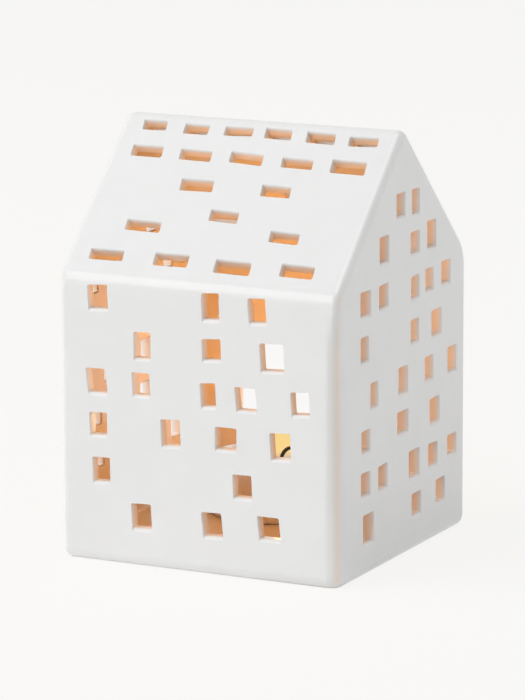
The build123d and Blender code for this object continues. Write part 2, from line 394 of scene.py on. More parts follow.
@dataclass(frozen=True)
class CandleWax:
    """White paraffin wax, which lets light through and has a satin surface."""

    name: str = Slot.WAX.value
    pale: Colour = (0.90, 0.885, 0.84, 1.0)
    deep: Colour = (0.85, 0.82, 0.75, 1.0)
    gloss: Span = (0.32, 0.5)
    relief: Relief = Relief(220.0, 2500.0, 0.15, 0.0002, 0.6)
    reach: Point = (0.0035, 0.0022, 0.0013)
    cloud_scale: float = 320.0
    cloud_detail: float = 4.0
    gloss_scale: float = 700.0
    refraction: float = 1.44
    seen_into: float = 0.7

    def build(self) -> bpy.types.Material:
        """Makes the material."""
        material, graph = new_material(self.name)
        cloud = mottled(graph, self.cloud_scale, detail=self.cloud_detail)
        rough = mottled(graph, self.gloss_scale, self.gloss)
        graph.principled({"Base Color": graph.mix(cloud, self.pale, self.deep), "Roughness": rough,
                          "IOR": self.refraction, "Subsurface Weight": self.seen_into,
                          "Subsurface Radius": self.reach, "Subsurface Scale": 1.0,
                          "Normal": self.relief.normal(graph)})
        return material


@dataclass(frozen=True)
class BraidedCotton:
    """Cotton braid: waxy and pale below, charred black above, with a spark of ember at its tip."""

    waxed: Colour = (0.55, 0.49, 0.38, 1.0)
    charred: Colour = (0.003, 0.0026, 0.0024, 1.0)
    ember: Colour = (1.0, 0.22, 0.04, 1.0)
    ember_power: float = 1.2
    char_from: float = 0.0158
    char_to: float = 0.0172
    ember_from: float = 0.0223
    ember_to: float = 0.0230
    gloss_scale: float = 2200.0
    gloss: Span = (0.6, 0.95)
    shine: float = 0.1
    relief: Relief = Relief(2500.0, 9000.0, 0.5, 0.0001, 0.8)

    def build(self) -> bpy.types.Material:
        """Makes the material."""
        material, graph = new_material(Slot.WICK.value)
        char = graph.group(HEIGHT_FADE, {"From": self.char_from, "To": self.char_to})
        glow = graph.group(HEIGHT_FADE, {"From": self.ember_from, "To": self.ember_to})
        rough = mottled(graph, self.gloss_scale, self.gloss)
        graph.principled({"Base Color": graph.mix(char, self.waxed, self.charred), "Roughness": rough,
                          "Specular IOR Level": self.shine,
                          "Emission Color": graph.mix(glow, grey(0.0), self.ember),
                          "Emission Strength": self.ember_power,
                          "Normal": self.relief.normal(graph)})
        return material


@dataclass(frozen=True)
class TinnedSheet:
    """Thin tinned steel sheet, slightly dull."""

    bright: Colour = (0.66, 0.66, 0.65, 1.0)
    dull: Colour = (0.50, 0.50, 0.49, 1.0)
    cloud_scale: float = 600.0
    cloud_detail: float = 5.0
    gloss_scale: float = 1500.0
    gloss: Span = (0.25, 0.45)

    def build(self) -> bpy.types.Material:
        """Makes the material."""
        material, graph = new_material(Slot.SUSTAINER.value)
        cloud = mottled(graph, self.cloud_scale, detail=self.cloud_detail)
        rough = mottled(graph, self.gloss_scale, self.gloss)
        graph.principled({"Base Color": graph.mix(cloud, self.bright, self.dull), "Metallic": 1.0,
                          "Roughness": rough})
        return material


@dataclass(frozen=True)
class FlameGlow:
    """A candle flame: dim and bluish round the wick, bright yellow above, amber at the tip."""

    root: Colour = (0.16, 0.20, 0.52, 1.0)
    heart: Colour = (0.95, 0.68, 0.27, 1.0)
    tip: Colour = (0.98, 0.60, 0.16, 1.0)
    glint: Colour = (4.0, 3.0, 1.7, 1.0)
    root_from: float = 0.0175
    root_to: float = 0.0205
    tip_from: float = 0.030
    tip_to: float = 0.042
    root_alpha: float = 0.25
    near_alpha: float = 0.015
    glint_bounces: float = 0.5

    def build(self) -> bpy.types.Material:
        """Makes the material, clear on the flame's near side so that the wick shows against its far side."""
        material, graph = new_material("flame_glow")
        low = graph.group(HEIGHT_FADE, {"From": self.root_from, "To": self.root_to})
        high = graph.group(HEIGHT_FADE, {"From": self.tip_from, "To": self.tip_to})
        colour = graph.mix(high, graph.mix(low, self.root, self.heart), self.tip)
        full = graph.ramp(low, 0.0, 1.0, self.root_alpha)
        clear = graph.ramp(graph.add("NewGeometry").outputs["Backfacing"], 0.0, 1.0, self.near_alpha)
        path = graph.add("LightPath").outputs
        direct = graph.calculate("LESS_THAN", path["Diffuse Depth"], self.glint_bounces)
        mirrored = graph.calculate("MULTIPLY", path["Is Glossy Ray"], direct)
        graph.principled({"Base Color": grey(0.0), "Roughness": 1.0, "Specular IOR Level": 0.0,
                          "Emission Color": graph.mix(mirrored, colour, self.glint),
                          "Emission Strength": 1.0, "Alpha": graph.calculate("MULTIPLY", full, clear)})
        return material


# Mesh helpers


def keep_piece(bm: bmesh.types.BMesh, name: str, material: bpy.types.Material,
               sharp_from: float) -> bpy.types.Object:
    """Turns a bmesh into a shown object at the origin.

    Args:
        bm: the finished mesh, which is freed.
        name: the piece's name.
        material: its finish.
        sharp_from: the angle, in degrees, from which an edge stays sharp.

    Returns:
        The new object.
    """
    mesh = bpy.data.meshes.new(name)
    bm.to_mesh(mesh)
    bm.free()
    return keep_mesh(mesh, name, material, sharp_from)


def keep_mesh(mesh: bpy.types.Mesh, name: str, material: bpy.types.Material,
              sharp_from: float) -> bpy.types.Object:
    """Shows a mesh with smooth shading and one finish. Arguments are as for keep_piece."""
    mesh.materials.clear()
    mesh.materials.append(material)
    mesh.polygons.foreach_set("use_smooth", [True] * len(mesh.polygons))
    mesh.set_sharp_from_angle(angle=math.radians(sharp_from))
    piece = bpy.data.objects.new(name, mesh)
    bpy.context.scene.collection.objects.link(piece)
    return piece


def beside(radius: float, level: float, points: Points) -> list[tuple[float, float]]:
    """Places a stretch of a profile, whose points are given as out from a radius and up from a level."""
    return [(radius + out, level + up) for out, up in points]


def spun(profile: Points, centre: Vector, steps: int) -> bmesh.types.BMesh:
    """Spins a profile into a closed round body.

    Args:
        profile: radius and height of each point, from the axis at the bottom to the axis at the top.
        centre: the point on the axis at height zero.
        steps: the number of steps in the full turn.

    Returns:
        The body, with its normals outwards.
    """
    bm = bmesh.new()
    points = [bm.verts.new(centre + Vector((radius, 0.0, height))) for radius, height in profile]
    edges = [bm.edges.new(pair) for pair in zip(points, points[1:])]
    bmesh.ops.spin(bm, geom=points + edges, cent=centre, axis=UP, angle=math.tau, steps=steps, use_merge=True)
    bmesh.ops.remove_doubles(bm, verts=bm.verts, dist=MERGE_DISTANCE)
    bmesh.ops.recalc_face_normals(bm, faces=bm.faces)
    return bm


def arc(start: Vector, centre: Vector, angle: float, steps: int) -> list[Vector]:
    """Turns a point about an axis along X.

    Args:
        start: the arc's first point.
        centre: a point on the axis.
        angle: how far to turn, in radians, from Y towards Z.
        steps: the number of steps.

    Returns:
        Every point of the arc, the first and the last ones too.
    """
    bm = bmesh.new()
    bmesh.ops.spin(bm, geom=[bm.verts.new(start)], cent=centre, axis=(1.0, 0.0, 0.0), angle=angle,
                   steps=steps)
    points = [vert.co.copy() for vert in bm.verts]
    bm.free()
    return points


def round_off(bm: bmesh.types.BMesh, face: bmesh.types.BMFace, reach: float, depth: float,
              steps: int) -> None:
    """Grows a quarter round between a face and its sides.

    Args:
        bm: the mesh.
        face: the face, which moves out by the depth.
        reach: how much the face shrinks all round. Below zero, it widens.
        depth: how far the face moves out.
        steps: the number of steps in the round.
    """
    turn = RIGHT_ANGLE / steps
    for step in range(steps):
        inwards = reach * (math.cos(step * turn) - math.cos((step + 1) * turn))
        outwards = depth * (math.sin((step + 1) * turn) - math.sin(step * turn))
        bmesh.ops.inset_region(bm, faces=[face], thickness=inwards, depth=outwards, use_even_offset=True,
                               use_boundary=True)


def bevelled(bm: bmesh.types.BMesh, edges: Iterable[bmesh.types.BMEdge], reach: float, segments: int) -> None:
    """Rounds edges.

    Args:
        bm: the mesh.
        edges: the edges to round.
        reach: how far the rounding reaches along each face.
        segments: the number of steps in the round.
    """
    bmesh.ops.bevel(bm, geom=list(edges), affect="EDGES", offset=reach, offset_type="OFFSET",
                    segments=segments, profile=0.5, material=-1, clamp_overlap=False, loop_slide=True)


def cut_across(bm: bmesh.types.BMesh, faces: Iterable[bmesh.types.BMFace], point: Vector, way: Vector,
               clear: bool = False) -> list[bmesh.types.BMEdge]:
    """Cuts faces along a plane.

    Args:
        bm: the mesh.
        faces: the faces to cut.
        point: a point on the plane.
        way: the plane's normal.
        clear: whether what lies behind the plane goes.

    Returns:
        The edges along the cut.
    """
    geom = dict.fromkeys(part for face in faces for part in (*face.verts, *face.edges, face))
    cut = bmesh.ops.bisect_plane(bm, geom=list(geom), dist=CUT_DISTANCE, plane_co=point, plane_no=way,
                                 clear_inner=clear)
    return [part for part in cut["geom_cut"] if isinstance(part, bmesh.types.BMEdge)]


# The house


@dataclass(frozen=True)
class Gable:
    """The house's section across its ridge, with the roundings of its eaves, ridge, ends and foot."""

    half_width: float
    half_depth: float
    bottom: float
    eave: float
    ridge: float
    eave_round: float
    ridge_round: float
    end_round: float
    foot_round: float
    foot_rise: float
    upright_round: float
    upright_fade: float
    upright_loop_shares: tuple[float, ...] = (0.0, 0.12, 0.25)
    eave_steps: int = 14
    ridge_steps: int = 12
    end_steps: int = 7
    foot_steps: int = 6

    @property
    def pitch(self) -> float:
        """The roof's slope, in radians."""
        return math.atan2(self.ridge - self.eave, self.half_depth)

    @property
    def wall_top(self) -> float:
        """The height where the walls begin to turn into the roof."""
        return self.eave - self.eave_round * math.tan((RIGHT_ANGLE - self.pitch) / 2)

    def block(self) -> bmesh.types.BMesh:
        """Extrudes the section into a closed block and rounds its ends and its foot."""
        bm = bmesh.new()
        straight = self.half_width - self.end_round
        end = bm.faces.new([bm.verts.new(point) for point in self.outline()])
        bmesh.ops.translate(bm, verts=bm.verts, vec=(-straight, 0.0, 0.0))
        grown = bmesh.ops.extrude_face_region(bm, geom=[end])["geom"]
        far = [part for part in grown if isinstance(part, bmesh.types.BMVert)]
        bmesh.ops.translate(bm, verts=far, vec=(2 * straight, 0.0, 0.0))
        bmesh.ops.recalc_face_normals(bm, faces=bm.faces)
        for face in [part for part in bm.faces if abs(part.normal.x) > HALF]:
            round_off(bm, face, self.end_round, self.end_round, self.end_steps)
        if self.upright_round > self.end_round:
            self.widen_upright(bm)
        rim = cut_across(bm, bm.faces, UP * (self.bottom + self.foot_rise), UP, clear=True)
        foot = bmesh.ops.contextual_create(bm, geom=rim)["faces"][0]
        bmesh.ops.recalc_face_normals(bm, faces=bm.faces)
        round_off(bm, foot, self.foot_round, self.foot_rise, self.foot_steps)
        return bm

    def widen_upright(self, bm: bmesh.types.BMesh) -> None:
        """Gives the front's right upright edge its own, larger rounding, which fades out below the eaves."""
        for level in (self.wall_top, self.wall_top - self.upright_fade):
            cut_across(bm, bm.faces, UP * level, UP)
        walls = ((Vector((1.0, 0.0, 0.0)), self.half_width), (Vector((0.0, -1.0, 0.0)), self.half_depth))
        for share in self.upright_loop_shares:
            for way, half in walls:
                low = [face for face in bm.faces if face.calc_center_median().z < self.wall_top]
                cut_across(bm, low, way * (half - self.upright_round * (1 - share)), way)
        for vert in bm.verts:
            fade = min(1.0, (self.wall_top - vert.co.z) / self.upright_fade)
            if fade > 0:
                self.pull_in(vert, self.end_round + (self.upright_round - self.end_round) * fade)

    def pull_in(self, vert: bmesh.types.BMVert, radius: float) -> None:
        """Moves one point of the walls onto the rounding of that upright edge, where it lies outside it."""
        across = vert.co.x - self.half_width + radius
        along = -vert.co.y - self.half_depth + radius
        reach = math.hypot(across, along)
        if min(across, along) > 0 and reach > radius:
            vert.co.x -= across * (1 - radius / reach)
            vert.co.y += along * (1 - radius / reach)

    def outline(self) -> list[Vector]:
        """The section's outline, whose foot hangs below the floor until the block is cut level."""
        below = self.bottom - 2 * self.end_round
        lean = RIGHT_ANGLE - self.pitch
        tuck = self.half_depth - self.eave_round
        points = [Vector((0.0, self.half_depth, below))]
        points += arc(Vector((0.0, self.half_depth, self.wall_top)), Vector((0.0, tuck, self.wall_top)),
                      lean, self.eave_steps)
        middle = Vector((0.0, 0.0, self.ridge - self.ridge_round / math.cos(self.pitch)))
        along = Vector((0.0, math.sin(self.pitch), math.cos(self.pitch))) * self.ridge_round
        points += arc(middle + along, middle, 2 * self.pitch, self.ridge_steps)
        centre = Vector((0.0, -tuck, self.wall_top))
        along = Vector((0.0, -math.sin(self.pitch), math.cos(self.pitch))) * self.eave_round
        points += arc(centre + along, centre, lean, self.eave_steps)
        points.append(Vector((0.0, -self.half_depth, below)))
        return points


@dataclass(frozen=True)
class Hole:
    """One opening: its outline on the outer face, the way out of the wall, its rims and its pooled glaze."""

    outline: tuple[Vector, ...]
    outward: Vector
    soft_corners: int
    corner: float
    rim_depth: float
    rim_width: float
    rim_inside: float
    sill_width: float = 0.0
    sill_glaze: float = 0.0
    head_glaze: float = 0.0
    on_floor: bool = False

    @property
    def middle(self) -> Vector:
        """The middle of the outline."""
        return sum(self.outline, Vector()) / len(self.outline)

    @property
    def up(self) -> Vector:
        """The direction up the wall."""
        return (UP - self.outward * UP.dot(self.outward)).normalized()

    @property
    def half_height(self) -> float:
        """Half of the outline's height along the wall."""
        return max((point - self.middle).dot(self.up) for point in self.outline)


@dataclass
class House:
    """The cast and glazed house, in one piece, pierced by its windows and its doorway."""

    finish: GlazedCeramic = field(default_factory=GlazedCeramic)
    eave: float = 0.080
    ridge: float = 0.120
    wall: float = 0.0035
    floor_top: float = 0.00425
    eave_round: float = 0.012
    ridge_round: float = 0.0035
    end_round: float = 0.0025
    base_round: float = 0.0024
    base_rise: float = 0.0033
    upright_round: float = 0.0046
    upright_fade: float = 0.010
    inner_eave_round: float = 0.0085
    inner_ridge_round: float = 0.0024
    inner_round: float = 0.0016
    window_corners: Span = (0.00025, 0.00045)
    window_rim_depth: float = 0.0010
    window_rim_width: float = 0.00018
    window_sills: Span = (0.0009, 0.0012)
    sill_glaze: float = 0.0006
    head_glaze: float = 0.0005
    window_rim_inside: float = 0.0004
    hand_seed: int = 7
    hand_weights: Point = (7.0, 11.0, 13.0)
    hand_steps: int = 100
    rim_steps: int = 4
    corner_steps: int = 3
    window_corner_count: int = 4
    doorway_half_width: float = 0.0278
    doorway_spring: float = 0.033
    doorway_corner: float = 0.002
    doorway_corner_count: int = 2
    doorway_rim: float = 0.001
    arch_steps: int = 48
    recess_margin: float = 0.006
    recess_depth: float = 0.00065
    recess_corner: float = 0.003
    recess_steps: int = 6
    reveal_length_shares: Span = (0.6, 1.6)
    reveal_square: float = 0.35
    flat_angle: float = 0.1
    sharp_from: float = 35.0
    shading_weight: int = 100
    overrun: float = 0.002
    hair: float = 0.000004
    ridge_gap: float = 0.000012
    slack: float = 0.0001

    def build(self) -> bpy.types.Object:
        """Makes the house and puts it in place of its plain solid."""
        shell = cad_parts["house_shell"]
        low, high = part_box("house_shell")
        self.half_width = (high.x - low.x) / 2
        self.half_depth = (high.y - low.y) / 2
        outside = self.outside_block()
        inside = self.inside_block()
        outer_skin = BVHTree.FromBMesh(outside)
        inner_skin = BVHTree.FromBMesh(inside)
        cutters: dict[tuple[float, ...], bmesh.types.BMesh] = {}
        for hole in [*self.windows(shell.data), self.doorway()]:
            wall = tuple(round(part, 1) for part in hole.outward)
            if wall not in cutters:
                cutters[wall] = bmesh.new()
            self.add_cutter(cutters[wall], hole, outer_skin, inner_skin)
        mesh = self.cut(outside, inside, [*cutters.values(), self.recess()])
        house = keep_mesh(mesh, "house", self.finish.build(self.room()), self.sharp_from)
        weighted = house.modifiers.new("even_shading", "WEIGHTED_NORMAL")
        weighted.mode = "FACE_AREA"
        weighted.weight = self.shading_weight
        weighted.keep_sharp = True
        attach(house, Body.HOUSE.value)
        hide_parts("house_shell")
        return house

    def outside_block(self) -> bmesh.types.BMesh:
        """The outer skin as a closed block."""
        return Gable(self.half_width, self.half_depth, 0.0, self.eave, self.ridge - self.ridge_gap,
                     self.eave_round, self.ridge_round, self.end_round, self.base_round, self.base_rise,
                     self.upright_round, self.upright_fade).block()

    def inside_block(self) -> bmesh.types.BMesh:
        """The hollow as a closed block, one wall in from the faces."""
        pitch = math.atan2(self.ridge - self.eave, self.half_depth)
        return Gable(self.half_width - self.wall, self.half_depth - self.wall, self.floor_top,
                     self.eave - self.wall * (1 - math.sin(pitch)) / math.cos(pitch),
                     self.ridge - self.wall / math.cos(pitch), self.inner_eave_round, self.inner_ridge_round,
                     self.inner_round, self.inner_round, self.inner_round, self.inner_round,
                     self.upright_fade).block()

    def room(self) -> dict[str, float]:
        """The hollow's size, a hair larger all round, for the finish's mask of painted candle glow."""
        pitch = math.atan2(self.ridge - self.eave, self.half_depth)
        inwards = self.wall - self.slack
        return {"Half width": self.half_width - inwards, "Half depth": self.half_depth - inwards,
                "Floor": self.floor_top - self.slack, "Roof": self.ridge * math.cos(pitch) - inwards,
                "Pitch sine": math.sin(pitch), "Pitch cosine": math.cos(pitch),
                "Fade": self.wall - 4 * self.slack}

    def windows(self, mesh: bpy.types.Mesh) -> list[Hole]:
        """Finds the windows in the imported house, from the four edges that each has through the wall.

        Args:
            mesh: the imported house's mesh, which is left as it is.

        Returns:
            One hole for each window.
        """
        bm = bmesh.new()
        bm.from_mesh(mesh)
        bmesh.ops.remove_doubles(bm, verts=bm.verts, dist=MERGE_DISTANCE)
        flat = math.radians(self.flat_angle)
        bmesh.ops.dissolve_limit(bm, angle_limit=flat, verts=bm.verts, edges=bm.edges)
        left = dict.fromkeys(edge for edge in bm.edges if self.is_reveal_corner(edge))
        holes = []
        while left:
            ring = [left.popitem()[0]]
            for edge in ring:
                near = dict.fromkeys(other for face in edge.link_faces for other in face.edges
                                     if other in left)
                ring.extend(near)
                left = {other: None for other in left if other not in near}
            if len(ring) == self.window_corner_count:
                holes.append(self.hole_from(ring))
        bm.free()
        holes.sort(key=lambda hole: tuple(sum(hole.outline, Vector())))
        return holes

    def is_reveal_corner(self, edge: bmesh.types.BMEdge) -> bool:
        """True for an edge that runs through the wall at the corner of a window."""
        shortest, longest = self.reveal_length_shares
        if len(edge.link_faces) != 2 or not shortest * self.wall < edge.calc_length() < longest * self.wall:
            return False
        one, other = edge.link_faces
        return abs(one.normal.dot(other.normal)) < self.reveal_square and not edge.is_convex

    def hole_from(self, ring: Sequence[bmesh.types.BMEdge]) -> Hole:
        """Makes a hole from a window's four edges through the wall."""
        middle = sum((v.co for edge in ring for v in edge.verts), Vector()) / (2 * len(ring))
        outward = (ring[0].verts[0].co - ring[0].verts[1].co).normalized()
        if outward.dot(middle - UP * self.ridge / 2) < 0:
            outward.negate()
        tips = [max((v.co.copy() for v in edge.verts), key=outward.dot) for edge in ring]
        face_at = max(tip.dot(outward) for tip in tips)
        side = outward.orthogonal().normalized()
        up = outward.cross(side)
        tips = [tip + outward * (face_at - tip.dot(outward)) for tip in tips]
        tips.sort(key=lambda tip: math.atan2((tip - middle).dot(up), (tip - middle).dot(side)))
        place = round(middle.dot(Vector(self.hand_weights)) / MERGE_DISTANCE / self.hand_steps)
        hand = random.Random(self.hand_seed + place)
        corner, sill = hand.uniform(*self.window_corners), hand.uniform(*self.window_sills)
        in_roof = outward.z > self.hair
        on_sill = {"sill_width": sill, "sill_glaze": self.sill_glaze}
        on_head = {"head_glaze": self.head_glaze}
        return Hole(tuple(tips), outward, self.window_corner_count, corner, self.window_rim_depth,
                    self.window_rim_width, self.window_rim_inside, **(on_head if in_roof else on_sill))

    def doorway(self) -> Hole:
        """The arched doorway, whose sill is level with the floor inside."""
        back = self.half_depth
        foot = self.floor_top + self.hair
        half = self.doorway_half_width
        bm = bmesh.new()
        start = bm.verts.new((half, back, self.doorway_spring))
        bmesh.ops.spin(bm, geom=[start], cent=(0.0, back, self.doorway_spring), axis=(0.0, 1.0, 0.0),
                       angle=-math.pi, steps=self.arch_steps)
        arch = sorted((v.co.copy() for v in bm.verts), key=lambda co: co.x)
        bm.free()
        outline = (Vector((half, back, foot)), Vector((-half, back, foot)), *arch)
        return Hole(outline, Vector((0.0, 1.0, 0.0)), self.doorway_corner_count, self.doorway_corner,
                    self.doorway_rim, self.doorway_rim, self.window_rim_inside, on_floor=True)

    def add_cutter(self, bm: bmesh.types.BMesh, hole: Hole, outer_skin: BVHTree, inner_skin: BVHTree) -> None:
        """Adds the body that cuts one hole and leaves both of its rims rounded.

        Args:
            bm: the mesh that collects the cutters.
            hole: the opening.
            outer_skin: the house's outer faces, which the outer rim follows.
            inner_skin: the faces of the hollow, which the inner rim follows.
        """
        cutter = bmesh.new()
        face = cutter.faces.new([cutter.verts.new(point) for point in hole.outline])
        face.normal_update()
        if face.normal.dot(hole.outward) < 0:
            face.normal_flip()
        corners = list(cutter.verts)[: hole.soft_corners]
        bmesh.ops.bevel(cutter, geom=corners, affect="VERTICES", offset=hole.corner, offset_type="OFFSET",
                        segments=self.corner_steps, profile=0.5, material=-1, clamp_overlap=False)
        near = max(cutter.faces, key=lambda part: part.calc_area())
        grown = bmesh.ops.extrude_face_region(cutter, geom=[near])["geom"]
        far = next(part for part in grown if isinstance(part, bmesh.types.BMFace))
        bmesh.ops.reverse_faces(cutter, faces=[near])
        self.sink(cutter, far, -hole.outward, hole.rim_depth)
        self.sink(cutter, near, -hole.outward, self.wall - hole.rim_inside)
        round_off(cutter, far, -hole.rim_width, hole.rim_depth, self.rim_steps)
        round_off(cutter, near, -hole.rim_inside, hole.rim_inside, self.rim_steps)
        self.soften(cutter, hole, outer_skin, inner_skin)
        for end, outward in ((far, hole.outward), (near, -hole.outward)):
            deeper = bmesh.ops.extrude_discrete_faces(cutter, faces=[end])["faces"][0]
            self.sink(cutter, deeper, outward, self.overrun)
        self.merge_into(bm, cutter)

    def sink(self, bm: bmesh.types.BMesh, face: bmesh.types.BMFace, way: Vector, by: float) -> None:
        """Moves one face along a direction."""
        bmesh.ops.translate(bm, verts=list(face.verts), vec=way * by)

    def soften(self, cutter: bmesh.types.BMesh, hole: Hole, outer_skin: BVHTree, inner_skin: BVHTree) -> None:
        """Thickens the sill or the head with glaze, and brings both rims onto the skins, curved or flat.

        Args:
            cutter: the body that cuts the hole.
            hole: the opening.
            outer_skin: the house's outer faces.
            inner_skin: the faces of the hollow.
        """
        face_at = hole.outline[0].dot(hole.outward)
        for vert in cutter.verts:
            depth = face_at - vert.co.dot(hole.outward)
            outside = depth < self.wall / 2
            under = depth if outside else self.wall - depth
            rim = hole.rim_depth if outside else hole.rim_inside
            share = min(1.0, max(0.0, 1 - under / rim))
            below = (hole.middle - vert.co).dot(hole.up) / hole.half_height
            roll = 1 - math.sqrt(1 - share * share) if outside else 0.0
            vert.co += hole.up * (max(0.0, below) * (hole.sill_glaze - hole.sill_width * roll))
            vert.co += hole.up * (min(0.0, below) * hole.head_glaze * (1 - roll))
            way = -hole.outward if outside else hole.outward
            skin = outer_skin if outside else inner_skin
            hit, _, _, distance = skin.ray_cast(vert.co - way * (under + self.overrun), way,
                                                self.wall + self.overrun)
            if hit is not None:
                vert.co += way * (distance - self.overrun - self.hair) * share
            if hole.on_floor and not outside:
                vert.co.z = max(vert.co.z, self.floor_top + self.hair)

    def recess(self) -> bmesh.types.BMesh:
        """The body that cuts the shallow recess under the floor."""
        cutter = bmesh.new()
        half_x = self.half_width - self.recess_margin
        half_y = self.half_depth - self.recess_margin
        shape = Matrix.Diagonal((half_x, half_y, self.recess_depth, 1.0))
        bmesh.ops.create_cube(cutter, size=2.0, matrix=shape)
        upright = [edge for edge in cutter.edges if abs(edge.verts[0].co.z - edge.verts[1].co.z) > self.hair]
        bevelled(cutter, upright, self.recess_corner, self.recess_steps)
        return cutter

    def merge_into(self, bm: bmesh.types.BMesh, part: bmesh.types.BMesh) -> None:
        """Adds one closed part to a mesh of several, with its normals outwards, and frees the part."""
        bmesh.ops.recalc_face_normals(part, faces=part.faces)
        mesh = bpy.data.meshes.new("part")
        part.to_mesh(mesh)
        part.free()
        bm.from_mesh(mesh)
        bpy.data.meshes.remove(mesh)

    def cut(self, outside: bmesh.types.BMesh, inside: bmesh.types.BMesh,
            cutters: Sequence[bmesh.types.BMesh]) -> bpy.types.Mesh:
        """Adds the cutters to the hollow, takes both out of the block and returns the house's mesh."""
        block, hollow, *others = [self.tool(bm) for bm in (outside, inside, *cutters)]
        for other in others:
            self.combine(hollow, other, "UNION")
        self.combine(block, hollow, "DIFFERENCE")
        depsgraph = bpy.context.evaluated_depsgraph_get()
        mesh = bpy.data.meshes.new_from_object(block.evaluated_get(depsgraph))
        for tool in (block, hollow, *others):
            spare = tool.data
            bpy.data.objects.remove(tool)
            bpy.data.meshes.remove(spare)
        return mesh

    def tool(self, bm: bmesh.types.BMesh) -> bpy.types.Object:
        """Makes a passing object of a mesh, for one Boolean step, and frees the mesh."""
        mesh = bpy.data.meshes.new("tool")
        bm.to_mesh(mesh)
        bm.free()
        tool = bpy.data.objects.new("tool", mesh)
        bpy.context.scene.collection.objects.link(tool)
        return tool

    def combine(self, tool: bpy.types.Object, other: bpy.types.Object, operation: str) -> None:
        """Adds one Boolean step to an object."""
        step = tool.modifiers.new(operation, "BOOLEAN")
        step.operation = operation
        step.solver = "EXACT"
        step.object = other


# The tealight


@dataclass(frozen=True)
class Lamp:
    """A warm light that goes wherever the flame goes."""

    name: str
    power: float
    colour: Point
    radius: float
    shift: Point

    def build(self, foot: Vector, flame: bpy.types.Object) -> None:
        """Adds the light.

        Args:
            foot: the point on the table's plane that the flame stands over.
            flame: the flame, which carries the light.
        """
        data = bpy.data.lights.new(self.name, "POINT")
        data.energy = self.power
        data.color = self.colour
        data.shadow_soft_size = self.radius
        lamp = bpy.data.objects.new(self.name, data)
        lamp.location = foot + Vector(self.shift)
        lamp.visible_camera = False
        lamp.visible_glossy = False
        bpy.context.scene.collection.objects.link(lamp)
        lamp.parent = flame


